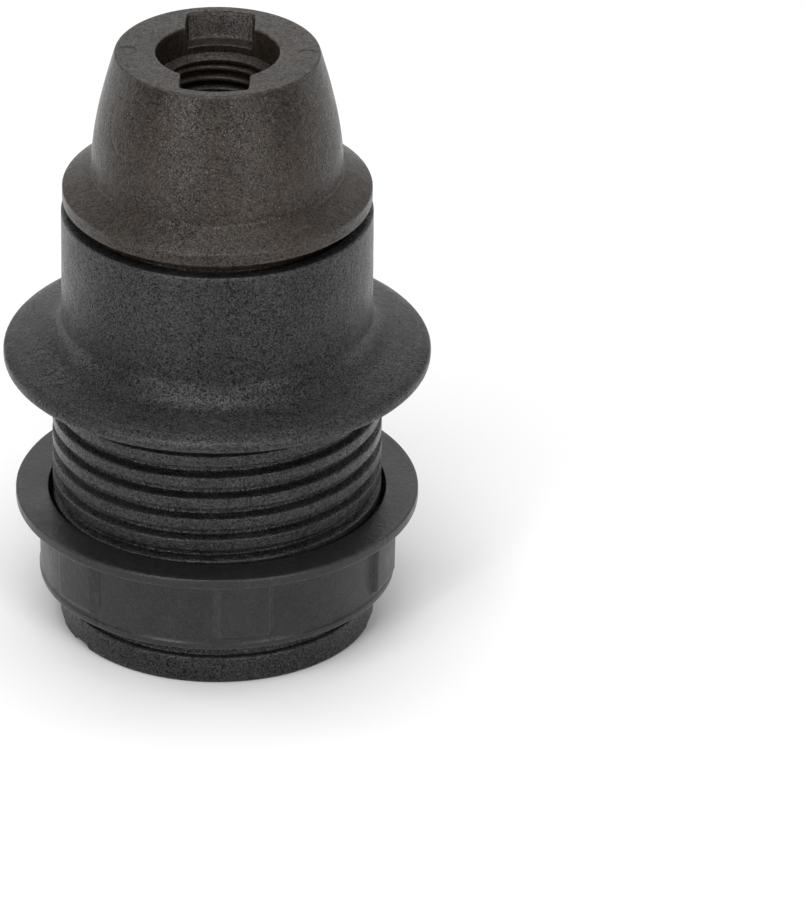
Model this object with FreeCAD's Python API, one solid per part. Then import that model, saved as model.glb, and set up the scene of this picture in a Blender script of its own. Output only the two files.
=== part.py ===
import FreeCAD, Part
import math
import os

# E14 lampholder in three screwed parts: a domed cap with an M10x1 entry, an outer sleeve with a collar
# and a 28x2 barrel thread, and a shade ring that runs on that thread. An insert with the lamp's
# contacts and the wire terminals is held between the cap and the sleeve.
# Millimetres. The Z axis is the lampholder's axis, the open lamp end is at z = 0 and the cap is on top.

# ---------------------------------------------------------------- driving dimensions
HEIGHT = 53.0                # whole lampholder, open end to cap top

# sleeve
SLEEVE_R = 13.15             # smooth body of the sleeve
SLEEVE_WALL = 1.65
SLEEVE_EDGE = 0.2            # chamfers of the sleeve's rims
COLLAR_R = 18.1              # collar that a lampshade bears on
COLLAR_Z = 24.5              # flat underside of the collar
COLLAR_EDGE = 0.95           # thickness of the collar's rounded edge
COLLAR_SLOPE_Z = 1.35        # rise of the collar's top face over its underside at the edge
COLLAR_ROUND = 0.9           # how far in the rounded edge reaches
FILLET_IN = 1.85             # hollow fillet: how far it starts from the body
FILLET_LOW = 2.15            # its start over the collar's underside
FILLET_Z = 4.1               # its end over the collar's underside
BARREL_R = 14.0              # crest of the 28x2 barrel thread
BARREL_DEPTH = 0.72
BARREL_PITCH = 2.0
BARREL_CREST = 0.95          # width of the barrel thread's flat crest
BARREL_FOOT = 1.61           # width of its tooth at the root
BARREL_BOTTOM = 3.6          # where the barrel thread starts
LAND_H = 0.6                 # plain land under the collar that centres the shade
LAND_OVER = 0.02             # the land is this much over the thread's crest
BAND_IN = 0.6                # the plain end band is this much under the thread's crest
BAND_H = 2.4
BAND_WALL = 1.7
NECK_IN = 0.28               # undercut below the thread's root
NOTCHES = (-60, -81, -102, 78, 99, 120)      # notches of the end rim, degrees from the front
NOTCH_WIDTH = 2.0
NOTCH_H = 0.35
LEDGE_TOP = 22.6             # ledge inside the sleeve that carries the insert
LEDGE_H = 2.2

# shade ring
RING_TOP = 12.05             # upper face of the shade ring where it rests
RING_FLANGE = 3.15           # flange's reach over the barrel's crest
RING_FLANGE_H = 0.95
RING_H = 7.85                # flange and skirt together
RING_EDGE = 0.15             # chamfers of the flange
SKIRT_OVER = 1.1             # skirt's outside over the barrel's crest
SKIRT_EDGE = 0.3
RING_CLEAR = 0.06            # the ring's thread crest clears the barrel's crest
RING_THREAD_DEPTH = 0.36
RING_MOUTH_OVER = 0.35       # plain mouth over the barrel's crest
RING_MOUTH_H = 0.7
RING_MOUTH_LEAD = 0.3
PADS = 6
PAD_PROUD = 0.45
PAD_ANGLE = 17.4
PAD_START = -90.0            # angle where the first pad begins, from +X
PAD_SHORT = 1.3              # the pads stop this far above the skirt's end
PAD_ROOT = 0.3               # depth of a pad's root in the skirt

# cap
CAP_TOP_R = 8.6
CAP_DOME_R = 10.6            # dome where it meets the flange
CAP_DOME_H = 11.0
CAP_SLOPE_H = 1.4            # sloping top of the flange
CAP_FLANGE_H = 1.15
CAP_FLANGE_IN = 0.1          # the flange is this much inside the sleeve's body
CAP_GAP = 1.0                # open groove between the flange and the sleeve
CAP_EDGE = 0.15
CAP_WALL = 1.6
ENTRY_R = 5.17               # plain counterbore over the entry thread
ENTRY_DEPTH = 2.63
ENTRY_H = 10.0               # counterbore and threaded boss together
ENTRY_CHAMFER = 0.34
BOSS_R = 6.3
CORE_ROOF_H = 3.8            # thickness of the top over the hollow round the boss
SLOT_WIDTH = 5.95            # cross slot over the entry
SLOT_DEPTH = 1.95
SLOT_END_R = 7.55            # round end of the slot at the top
SLOT_FLOOR_R = 6.55          # and at its floor
SLOT_TURN = -2.4             # degrees off the Y axis
M10_R = 5.0                  # M10x1 entry thread
M10_MINOR_R = 4.46
M10_PITCH = 1.0

# thread between the cap and the sleeve
CAP_THREAD_OVER = 0.5        # its crest over the sleeve's bore
CAP_THREAD_DEPTH = 0.7
CAP_THREAD_PITCH = 1.5
CAP_THREAD_GAP = 0.1         # clearance all round that thread
CAP_THREAD_H = 6.1           # cap's skirt below the sleeve's rim
CAP_SKIRT_WALL = 1.4
THREAD_LEAD = 0.6            # plain lead-in over the sleeve's thread
THREAD_START = 0.6           # the cap's thread starts this far above its skirt's end

# insert
INSERT_GAP = 0.05            # the insert's axial play at each end
INSERT_CLEAR = 0.3           # radial clearance of the insert in the sleeve
INSERT_WALL = 1.45
TUBE_WALL = 1.65             # lamp tube round the screw shell
TUBE_END_H = 0.7             # the tube ends this far below the shell
FLOOR_RISE = 2.9             # insert's floor above the sleeve's ledge
FLOOR_H = 3.0
TURRET_R = 4.0
TURRET_H = 5.0
TURRET_BORE_R = 2.45
TURRET_BORE_H = 1.5          # the turret's bore starts this far above the floor's underside
STEM_BORE_R = 1.5
KEY_WIDTH = 2.4
KEY_DEPTH = 1.9
KEY_H = 5.65                 # keys above the cap's skirt end
KEY_GAP = 0.2
KEYWAY_OVER = 0.6            # keyway above the key's top
BARRIER_T = 1.2              # wall between the two terminals

# screw shell
SHELL_R = 7.45               # E14 screw shell
SHELL_CREST_DEPTH = 1.2
SHELL_ROOT_DEPTH = 0.43
SHELL_PITCH = 2.822
SHELL_H = 15.3
SHELL_FLOOR_H = 0.35
SHELL_HOLE_R = 3.2
SHELL_FIT = 0.1              # shell in the insert's tube
SHELL_RIVET_Y = 5.15

# centre contact
TIP_R = 2.3
TIP_DROP = 2.6               # tip below the insert's floor
TIP_H = 1.4
TIP_FLAT_R = 0.9
TIP_ROUND_H = 0.9
STEM_R = 1.45
STEM_END_R = 1.0
STEM_END_H = 0.3             # riveted end of the stem over its collar
COLLAR_PLAY = 0.1
PLUNGER_COLLAR_R = 2.35
PLUNGER_COLLAR_H = 0.8
SPRING_MEAN_R = 1.9
SPRING_WIRE_R = 0.22
SPRING_TURNS = 5

# strips, terminals and rivets
STRIP_T = 0.4
STRIP_W = 4.2
ARM_W = 2.0                  # neutral strip's arm
TERMINAL_X = 6.9             # centre of each terminal cage
CAGE_X = 4.0
CAGE_Y = 4.4
CAGE_ROUND = 0.4
WINDOW_X = 2.8
WINDOW_Z = 0.8
WINDOW_H = 2.2
SCREW_R = 1.45
SCREW_FIT = 0.05
SCREW_TIP = 0.3              # chamfer of the screw's tip
SCREW_TIP_GAP = 0.02
SCREW_HEAD_R = 2.1
SCREW_HEAD_H = 1.4
SCREW_HEAD_EDGE = 0.2
SCREW_HEAD_GAP = 0.3
SCREW_SLOT_W = 0.6
SCREW_SLOT_H = 0.7
PLATE_T = 0.6
PLATE_CLEAR = 0.1
PLATE_END_GAP = 0.3
PLATE_LIP = 0.05             # rib under the plate that bites the wire
PLATE_LIP_W = 0.5
RIVET_R = 0.6
RIVET_HEAD_R = 1.05
RIVET_HEAD_H = 0.4
STRIP_RIVET_R = 0.45
STRIP_RIVET_HEAD_R = 0.81
STRIP_RIVET_HEAD_H = 0.35
STRIP_RIVET_DEPTH = 2.2

# side contact spring
LEAF_T = 0.3
LEAF_W = 3.0
LEAF_DROP = 13.5             # its lower end below the insert's floor
LEAF_H = 9.0
LEAF_OVER = 0.4              # its foot outside the shell
LEAF_BOW = 1.2
LEAF_ROOM = 0.65             # recess behind the foot
LEAF_SIDE = 0.3              # room beside the leaf in its window
LEAF_END = 0.8               # room over and under the leaf
LEAF_TAB = 3.2               # straight tab above the bow, clipped into the insert
TAB_GAP = 0.12
TAB_END = 0.2

# ---------------------------------------------------------------- sizes that follow
SLEEVE_TOP = HEIGHT - CAP_DOME_H - CAP_SLOPE_H - CAP_FLANGE_H - CAP_GAP
SLEEVE_BORE_R = SLEEVE_R - SLEEVE_WALL
BARREL_ROOT_R = BARREL_R - BARREL_DEPTH
BAND_R = BARREL_R - BAND_IN
MOUTH_R = BAND_R - BAND_WALL
NECK_R = BARREL_ROOT_R - NECK_IN

RING_R = BARREL_R + RING_FLANGE
SKIRT_R = BARREL_R + SKIRT_OVER
RING_MOUTH_R = BARREL_R + RING_MOUTH_OVER
RING_CREST_R = BARREL_R + RING_CLEAR
RING_ROOT_R = RING_CREST_R + RING_THREAD_DEPTH
RING_LOW = RING_TOP - RING_H
RING_FLANGE_LOW = RING_TOP - RING_FLANGE_H

CAP_DOME_Z = HEIGHT - CAP_DOME_H
CAP_FLANGE_R = SLEEVE_R - CAP_FLANGE_IN
CAP_FLANGE_TOP = CAP_DOME_Z - CAP_SLOPE_H
CAP_FLANGE_BOTTOM = CAP_FLANGE_TOP - CAP_FLANGE_H
ENTRY_BOTTOM = HEIGHT - ENTRY_H
ENTRY_FLOOR = HEIGHT - ENTRY_DEPTH
CORE_ROOF = HEIGHT - CORE_ROOF_H
CAP_THREAD_R = SLEEVE_BORE_R + CAP_THREAD_OVER
CAP_THREAD_ROOT_R = CAP_THREAD_R - CAP_THREAD_DEPTH
SKIRT_BORE_R = CAP_THREAD_ROOT_R - CAP_SKIRT_WALL
SKIRT_END = SLEEVE_TOP - CAP_THREAD_H

INSERT_R = SLEEVE_BORE_R - INSERT_CLEAR
WALL_BORE_R = INSERT_R - INSERT_WALL
TUBE_BORE_R = SHELL_R + SHELL_FIT
TUBE_R = TUBE_BORE_R + TUBE_WALL
LEDGE_R = TUBE_R + INSERT_CLEAR
FLOOR_BOTTOM = LEDGE_TOP + FLOOR_RISE
FLOOR_TOP = FLOOR_BOTTOM + FLOOR_H
TURRET_TOP = FLOOR_TOP + TURRET_H
TURRET_BORE_Z = FLOOR_BOTTOM + TURRET_BORE_H
KEY_OUT_R = CAP_THREAD_ROOT_R - CAP_SKIRT_WALL / 2
KEY_IN_R = KEY_OUT_R - KEY_DEPTH
KEY_TOP = SKIRT_END + KEY_H

SHELL_END = FLOOR_BOTTOM - SHELL_H
SHELL_CREST_R = SHELL_R - SHELL_CREST_DEPTH
SHELL_ROOT_R = SHELL_R - SHELL_ROOT_DEPTH
TUBE_END = SHELL_END - TUBE_END_H

TIP_Z = FLOOR_BOTTOM - TIP_DROP
SCREW_HOLE_R = SCREW_R + SCREW_FIT
CAGE_Z = FLOOR_TOP + STRIP_T

LEAF_LOW = FLOOR_BOTTOM - LEAF_DROP
LEAF_HIGH = LEAF_LOW + LEAF_H
LEAF_FOOT_X = SHELL_R + LEAF_OVER
LEAF_CREST_X = LEAF_FOOT_X - LEAF_BOW
LEAF_RECESS_X = LEAF_FOOT_X + LEAF_ROOM

# thread sections: widths of a tooth or groove at its foot and its crest
CAP_TOOTH_FOOT = 1.0
CAP_TOOTH_CREST = 0.35
CAP_GROOVE_FOOT = 1.3
CAP_GROOVE_CREST = 0.55
RING_GROOVE_FOOT = 1.5
RING_GROOVE_CREST = 0.9
M10_GROOVE_FOOT = 0.52
M10_GROOVE_CREST = 0.2
SHELL_GROOVE_FOOT = 2.3
SHELL_GROOVE_CREST = 1.0
SHELL_PLAIN_H = 1.6          # plain end of the shell under its floor

CORE_START_H = 0.5           # the cap's hollow widens this far above the flange's underside
SKIRT_DRAFT = 0.1            # mould draft of the ring's skirt
STRIP_CLEAR = 0.1
EYE_RIM = 0.15
COVER_RIM = 0.5
PAST = 1.0                   # how far a cutter runs past what it cuts
OVERLAP = 0.2                # how far a fused or cut piece starts inside its neighbour
FRONT = -90.0                # direction of the front, in degrees from +X
Y = FreeCAD.Vector(0, 1, 0)
Z = FreeCAD.Vector(0, 0, 1)
ORIGIN = FreeCAD.Vector(0, 0, 0)

os.makedirs("parts", exist_ok=True)


def save(name, shape):
    """Write one piece, tidied, as its own STEP."""
    tidy = shape.removeSplitter()
    if not tidy.isValid():
        tidy = shape
    tidy.exportStep(f"parts/{name}.step")
    print(f"{name}: {len(tidy.Solids)} solid, {tidy.Volume:.1f} mm3, valid {tidy.isValid()}")
    return tidy


# ---------------------------------------------------------------- helpers
def p(r, z):
    """A point of a turned outline, at radius r and height z."""
    return FreeCAD.Vector(r, 0, z)


def line(a, b):
    return Part.LineSegment(a, b).toShape()


def arc(a, middle, b):
    return Part.Arc(a, middle, b).toShape()


def turned(edges):
    """Revolve a closed outline of edges, drawn in the XZ plane, about the axis."""
    face = Part.Face(Part.Wire(edges))
    return face.revolve(ORIGIN, Z, 360)


def turned_polygon(points):
    """Revolve a closed outline of straight lines about the axis."""
    vectors = [p(r, z) for r, z in points]
    face = Part.Face(Part.makePolygon(vectors + [vectors[0]]))
    return face.revolve(ORIGIN, Z, 360)


def disc(r, z, h):
    return Part.makeCylinder(r, h, FreeCAD.Vector(0, 0, z), Z)


def pipe(outer, inner, z, h):
    return disc(outer, z, h).cut(disc(inner, z - PAST, h + 2 * PAST))


def rod(r, x, y, z, h):
    return Part.makeCylinder(r, h, FreeCAD.Vector(x, y, z), Z)


def block(x0, x1, y0, y1, z0, z1):
    return Part.makeBox(x1 - x0, y1 - y0, z1 - z0, FreeCAD.Vector(x0, y0, z0))


def spun(shape, degrees):
    """A copy of a shape, turned about the axis."""
    copy = shape.copy()
    copy.rotate(ORIGIN, Z, degrees)
    return copy


def helix_bar(pitch, z_low, z_high, inner_r, outer_r, inner_w, outer_w, phase_z):
    """A trapezoid bar wound along a right-hand helix, cut square at z_low and z_high.

    inner_w and outer_w are its widths at inner_r and outer_r. At the front (-Y) its middle passes
    phase_z, give or take whole pitches, so bars with one phase_z are in mesh.
    """
    start = z_low - pitch
    helix = Part.makeHelix(pitch, z_high - z_low + 2 * pitch, inner_r)
    corners = [
        p(inner_r, -inner_w / 2),
        p(outer_r, -outer_w / 2),
        p(outer_r, outer_w / 2),
        p(inner_r, inner_w / 2),
    ]
    profile = Part.makePolygon(corners + [corners[0]])
    bar = Part.Wire(helix.Edges).makePipeShell([profile], True, True)
    bar.rotate(ORIGIN, Z, FRONT + 360.0 * (start - phase_z) / pitch)
    bar.translate(FreeCAD.Vector(0, 0, start))
    widest = max(inner_r, outer_r) + PAST
    return bar.common(disc(widest, z_low, z_high - z_low))


def cut_thread(body, groove):
    """Cut a helical groove, and make sure that it went in."""
    done = body.cut(groove)
    if body.Volume - done.Volume < 0.1 * groove.Volume:
        raise ValueError("a thread groove did not cut")
    return done


def dome_r(z):
    """Outer radius of the cap's dome at a height."""
    part = (HEIGHT - z) / (HEIGHT - CAP_DOME_Z)
    return CAP_TOP_R + (CAP_DOME_R - CAP_TOP_R) * math.sin(part * math.pi / 2)


# ---------------------------------------------------------------- sleeve
def make_sleeve():
    fillet_top = COLLAR_Z + FILLET_Z
    slope_in = p(SLEEVE_R + FILLET_IN, COLLAR_Z + FILLET_LOW)
    slope_out = p(COLLAR_R - COLLAR_ROUND, COLLAR_Z + COLLAR_SLOPE_Z)
    half_edge = COLLAR_EDGE / 2
    edge_top = p(COLLAR_R, COLLAR_Z + half_edge)
    edge_low = p(COLLAR_R - half_edge, COLLAR_Z)
    low_round = p(COLLAR_R - half_edge / 4, COLLAR_Z + half_edge / 3)
    top_round = p(COLLAR_R - COLLAR_ROUND * 0.31, COLLAR_Z + half_edge + (COLLAR_SLOPE_Z - half_edge) * 0.58)
    hollow = p(SLEEVE_R + FILLET_IN * 0.3, COLLAR_Z + FILLET_LOW + (FILLET_Z - FILLET_LOW) * 0.4)
    ledge_low = LEDGE_TOP - LEDGE_H
    groove_r = CAP_THREAD_R + CAP_THREAD_GAP
    lead_z = SLEEVE_TOP - THREAD_LEAD
    rim = SLEEVE_EDGE
    land_z = COLLAR_Z - LAND_H
    land_r = BARREL_R + LAND_OVER
    edges = [
        line(p(MOUTH_R, 0), p(BAND_R - rim, 0)),
        line(p(BAND_R - rim, 0), p(BAND_R, rim)),
        line(p(BAND_R, rim), p(BAND_R, BAND_H - rim)),
        line(p(BAND_R, BAND_H - rim), p(NECK_R, BAND_H)),
        line(p(NECK_R, BAND_H), p(NECK_R, BARREL_BOTTOM)),
        line(p(NECK_R, BARREL_BOTTOM), p(BARREL_ROOT_R, BARREL_BOTTOM + rim)),
        line(p(BARREL_ROOT_R, BARREL_BOTTOM + rim), p(BARREL_ROOT_R, land_z)),
        line(p(BARREL_ROOT_R, land_z), p(land_r, land_z)),
        line(p(land_r, land_z), p(land_r, COLLAR_Z)),
        line(p(land_r, COLLAR_Z), edge_low),
        arc(edge_low, low_round, edge_top),
        arc(edge_top, top_round, slope_out),
        line(slope_out, slope_in),
        arc(slope_in, hollow, p(SLEEVE_R, fillet_top)),
        line(p(SLEEVE_R, fillet_top), p(SLEEVE_R, SLEEVE_TOP - rim)),
        line(p(SLEEVE_R, SLEEVE_TOP - rim), p(SLEEVE_R - rim, SLEEVE_TOP)),
        line(p(SLEEVE_R - rim, SLEEVE_TOP), p(SLEEVE_BORE_R, SLEEVE_TOP)),
        line(p(SLEEVE_BORE_R, SLEEVE_TOP), p(SLEEVE_BORE_R, LEDGE_TOP)),
        line(p(SLEEVE_BORE_R, LEDGE_TOP), p(LEDGE_R, LEDGE_TOP)),
        line(p(LEDGE_R, LEDGE_TOP), p(LEDGE_R, ledge_low)),
        line(p(LEDGE_R, ledge_low), p(SLEEVE_BORE_R, ledge_low)),
        line(p(SLEEVE_BORE_R, ledge_low), p(MOUTH_R, 0)),
    ]
    body = turned(edges)
    body = body.fuse(helix_bar(
        BARREL_PITCH, BARREL_BOTTOM, land_z + OVERLAP,
        BARREL_ROOT_R - OVERLAP, BARREL_R, BARREL_FOOT, BARREL_CREST, BARREL_BOTTOM,
    ))
    groove = helix_bar(
        CAP_THREAD_PITCH, SKIRT_END - PAST, lead_z + OVERLAP,
        SLEEVE_BORE_R - OVERLAP, groove_r, CAP_GROOVE_FOOT, CAP_GROOVE_CREST, SKIRT_END,
    )
    body = cut_thread(body, groove).cut(disc(groove_r + CAP_THREAD_GAP / 2, lead_z, THREAD_LEAD + PAST))
    half = NOTCH_WIDTH / 2
    notch = block(MOUTH_R - PAST, BAND_R + PAST, -half, half, -PAST, NOTCH_H)
    return body.cut([spun(notch, FRONT + angle) for angle in NOTCHES])


# ---------------------------------------------------------------- shade ring
def make_shade_ring():
    edge = RING_EDGE
    low = RING_LOW
    flange_low = RING_FLANGE_LOW
    thread_top = RING_TOP - RING_MOUTH_H - RING_MOUTH_LEAD
    body = turned_polygon([
        (RING_MOUTH_R, RING_TOP),
        (RING_R - edge, RING_TOP),
        (RING_R, RING_TOP - edge),
        (RING_R, flange_low + edge),
        (RING_R - edge, flange_low),
        (SKIRT_R + SKIRT_DRAFT, flange_low),
        (SKIRT_R, low + SKIRT_EDGE),
        (SKIRT_R - SKIRT_EDGE, low),
        (RING_CREST_R + SKIRT_EDGE, low),
        (RING_CREST_R, low + SKIRT_EDGE),
        (RING_CREST_R, thread_top),
        (RING_MOUTH_R, thread_top + RING_MOUTH_LEAD),
    ])
    groove = helix_bar(
        BARREL_PITCH, low + SKIRT_EDGE + INSERT_GAP, thread_top - INSERT_GAP,
        RING_CREST_R - OVERLAP, RING_ROOT_R, RING_GROOVE_FOOT, RING_GROOVE_CREST, BARREL_BOTTOM,
    )
    body = cut_thread(body, groove)
    root = SKIRT_R - PAD_ROOT
    face = SKIRT_R + PAD_PROUD
    pad_low = low + PAD_SHORT
    pad_top = flange_low + SKIRT_DRAFT
    pad_edges = [
        line(p(root, pad_low), p(face, pad_low + OVERLAP)),
        line(p(face, pad_low + OVERLAP), p(face, pad_top)),
        line(p(face, pad_top), p(root, pad_top)),
        line(p(root, pad_top), p(root, pad_low)),
    ]
    pad = Part.Face(Part.Wire(pad_edges)).revolve(ORIGIN, Z, PAD_ANGLE)
    return body.fuse([spun(pad, PAD_START + 360.0 * i / PADS) for i in range(PADS)])


# ---------------------------------------------------------------- cap
def make_cap():
    entry_floor = ENTRY_FLOOR
    dome_mid = p(dome_r((HEIGHT + CAP_DOME_Z) / 2), (HEIGHT + CAP_DOME_Z) / 2)
    core_top_r = dome_r(CORE_ROOF) - CAP_WALL
    core_low_r = dome_r(CAP_DOME_Z) - CAP_WALL
    core_mid_z = (CORE_ROOF + CAP_DOME_Z) / 2
    core_mid = p(dome_r(core_mid_z) - CAP_WALL, core_mid_z)
    core_start = CAP_FLANGE_BOTTOM + CORE_START_H
    edge = CAP_EDGE
    edges = [
        line(p(M10_MINOR_R, ENTRY_BOTTOM), p(M10_MINOR_R, entry_floor)),
        line(p(M10_MINOR_R, entry_floor), p(ENTRY_R, entry_floor)),
        line(p(ENTRY_R, entry_floor), p(ENTRY_R, HEIGHT)),
        line(p(ENTRY_R, HEIGHT), p(CAP_TOP_R, HEIGHT)),
        arc(p(CAP_TOP_R, HEIGHT), dome_mid, p(CAP_DOME_R, CAP_DOME_Z)),
        line(p(CAP_DOME_R, CAP_DOME_Z), p(CAP_FLANGE_R - edge, CAP_FLANGE_TOP)),
        line(p(CAP_FLANGE_R - edge, CAP_FLANGE_TOP), p(CAP_FLANGE_R, CAP_FLANGE_TOP - edge)),
        line(p(CAP_FLANGE_R, CAP_FLANGE_TOP - edge), p(CAP_FLANGE_R, CAP_FLANGE_BOTTOM + edge)),
        line(p(CAP_FLANGE_R, CAP_FLANGE_BOTTOM + edge), p(CAP_FLANGE_R - edge, CAP_FLANGE_BOTTOM)),
        line(p(CAP_FLANGE_R - edge, CAP_FLANGE_BOTTOM), p(CAP_THREAD_ROOT_R, CAP_FLANGE_BOTTOM)),
        line(p(CAP_THREAD_ROOT_R, CAP_FLANGE_BOTTOM), p(CAP_THREAD_ROOT_R, SKIRT_END)),
        line(p(CAP_THREAD_ROOT_R, SKIRT_END), p(SKIRT_BORE_R, SKIRT_END)),
        line(p(SKIRT_BORE_R, SKIRT_END), p(SKIRT_BORE_R, core_start)),
        line(p(SKIRT_BORE_R, core_start), p(core_low_r, CAP_DOME_Z)),
        arc(p(core_low_r, CAP_DOME_Z), core_mid, p(core_top_r, CORE_ROOF)),
        line(p(core_top_r, CORE_ROOF), p(BOSS_R, CORE_ROOF)),
        line(p(BOSS_R, CORE_ROOF), p(BOSS_R, ENTRY_BOTTOM)),
        line(p(BOSS_R, ENTRY_BOTTOM), p(M10_MINOR_R, ENTRY_BOTTOM)),
    ]
    body = turned(edges)
    body = body.fuse(helix_bar(
        CAP_THREAD_PITCH, SKIRT_END + THREAD_START, SLEEVE_TOP - THREAD_LEAD / 2,
        CAP_THREAD_ROOT_R - OVERLAP, CAP_THREAD_R, CAP_TOOTH_FOOT, CAP_TOOTH_CREST, SKIRT_END,
    ))
    entry_groove = helix_bar(
        M10_PITCH, ENTRY_BOTTOM + ENTRY_CHAMFER, entry_floor - ENTRY_CHAMFER / 2,
        M10_MINOR_R - OVERLAP, M10_R, M10_GROOVE_FOOT, M10_GROOVE_CREST, HEIGHT,
    )
    chamfer_low = FreeCAD.Vector(0, 0, entry_floor - ENTRY_CHAMFER)
    chamfer = Part.makeCone(M10_MINOR_R, ENTRY_R, ENTRY_CHAMFER, chamfer_low, Z)
    body = cut_thread(body, entry_groove).cut(chamfer)
    half = SLOT_WIDTH / 2
    slot_low = HEIGHT - SLOT_DEPTH
    slot = block(-half, half, -HEIGHT, HEIGHT, slot_low, HEIGHT + PAST)
    slot_end = Part.makeCone(SLOT_FLOOR_R, SLOT_END_R, SLOT_DEPTH, FreeCAD.Vector(0, 0, slot_low), Z)
    slot = spun(slot, SLOT_TURN).common(slot_end)
    body = body.cut(slot)
    half = KEY_WIDTH / 2 + KEY_GAP
    outer = KEY_OUT_R + KEY_GAP
    keyway = block(-half, half, SKIRT_BORE_R - PAST, outer, SKIRT_END - PAST, KEY_TOP + KEYWAY_OVER)
    return body.cut([keyway, spun(keyway, 180)])


# ---------------------------------------------------------------- insert
def make_insert_body():
    seat = LEDGE_TOP + INSERT_GAP
    wall_top = SKIRT_END - INSERT_GAP
    body = turned_polygon([
        (STEM_BORE_R, FLOOR_BOTTOM),
        (TUBE_BORE_R, FLOOR_BOTTOM),
        (TUBE_BORE_R, TUBE_END),
        (TUBE_R, TUBE_END),
        (TUBE_R, seat),
        (INSERT_R, seat),
        (INSERT_R, wall_top),
        (WALL_BORE_R, wall_top),
        (WALL_BORE_R, FLOOR_TOP),
        (TURRET_R, FLOOR_TOP),
        (TURRET_R, TURRET_TOP),
        (TURRET_BORE_R, TURRET_TOP),
        (TURRET_BORE_R, TURRET_BORE_Z),
        (STEM_BORE_R, TURRET_BORE_Z),
    ])
    half = KEY_WIDTH / 2
    sunk = FLOOR_TOP - OVERLAP
    key = block(-half, half, KEY_IN_R, KEY_OUT_R, sunk, KEY_TOP)
    # a short barrier stands between the two terminals on each side of the turret
    half = BARRIER_T / 2
    barrier = block(-half, half, TURRET_R - OVERLAP, KEY_IN_R + OVERLAP, sunk, TURRET_TOP)
    barrier = barrier.cut(rod(RIVET_HEAD_R + KEY_GAP, 0, SHELL_RIVET_Y, sunk, TURRET_TOP))
    pedestal = block(
        TERMINAL_X - CAGE_X / 2, TERMINAL_X + CAGE_X / 2,
        -CAGE_Y / 2, CAGE_Y / 2, sunk, FLOOR_TOP + STRIP_T,
    )
    body = body.fuse([key, spun(key, 180), barrier, spun(barrier, 180), pedestal])
    half = LEAF_W / 2 + LEAF_SIDE
    inside = TUBE_BORE_R - PAST
    recess = block(inside, LEAF_RECESS_X, -half, half, LEAF_LOW - LEAF_END, LEAF_HIGH + LEAF_END)
    half = LEAF_W / 2 + TAB_GAP
    tab_top = LEAF_HIGH + LEAF_TAB + TAB_END
    clip = block(inside, LEAF_FOOT_X + TAB_GAP, -half, half, LEAF_HIGH, tab_top)
    low = FLOOR_BOTTOM - PAST
    holes = [rod(RIVET_R, 0, side * SHELL_RIVET_Y, low, FLOOR_H + 2 * PAST) for side in (1, -1)]
    rivet_low = TURRET_TOP - STRIP_RIVET_DEPTH
    strip_hole = rod(STRIP_RIVET_R, strip_rivet_x(), 0, rivet_low, STRIP_RIVET_DEPTH + PAST)
    return body.cut([recess, clip, strip_hole] + holes)


def strip_rivet_x():
    """The small rivet sits in the middle of the turret's wall, away from the live terminal."""
    return -(TURRET_R + TURRET_BORE_R) / 2


def make_screw_shell():
    top = FLOOR_BOTTOM
    lead = SHELL_ROOT_R - SHELL_CREST_R
    shell = turned_polygon([
        (SHELL_ROOT_R, SHELL_END),
        (SHELL_R, SHELL_END),
        (SHELL_R, top),
        (SHELL_HOLE_R, top),
        (SHELL_HOLE_R, top - SHELL_FLOOR_H),
        (SHELL_CREST_R, top - SHELL_FLOOR_H),
        (SHELL_CREST_R, SHELL_END + lead),
    ])
    groove = helix_bar(
        SHELL_PITCH, SHELL_END - PAST, top - SHELL_PLAIN_H,
        SHELL_CREST_R - OVERLAP, SHELL_ROOT_R, SHELL_GROOVE_FOOT, SHELL_GROOVE_CREST, SHELL_END,
    )
    shell = cut_thread(shell, groove)
    half = LEAF_W / 2 + LEAF_SIDE
    inside = LEAF_CREST_X - LEAF_T - PAST
    window = block(inside, SHELL_R + PAST, -half, half, LEAF_LOW - LEAF_END, LEAF_HIGH + LEAF_END)
    holes = [rod(RIVET_R, 0, side * SHELL_RIVET_Y, top - PAST, 2 * PAST) for side in (1, -1)]
    return shell.cut([window] + holes)


def make_shell_rivets():
    """Two rivets through the shell's floor and the insert's floor; the front one also holds the strip."""
    low = FLOOR_BOTTOM - SHELL_FLOOR_H
    top = FLOOR_TOP
    rivets = []
    for side, grip in ((1, 0.0), (-1, STRIP_T)):
        y = side * SHELL_RIVET_Y
        shank = rod(RIVET_R, 0, y, low, top + grip - low)
        lower = rod(RIVET_HEAD_R, 0, y, low - RIVET_HEAD_H, RIVET_HEAD_H)
        upper = rod(RIVET_HEAD_R, 0, y, top + grip, RIVET_HEAD_H)
        rivets.append(shank.fuse([lower, upper]))
    return Part.makeCompound(rivets)


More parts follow.
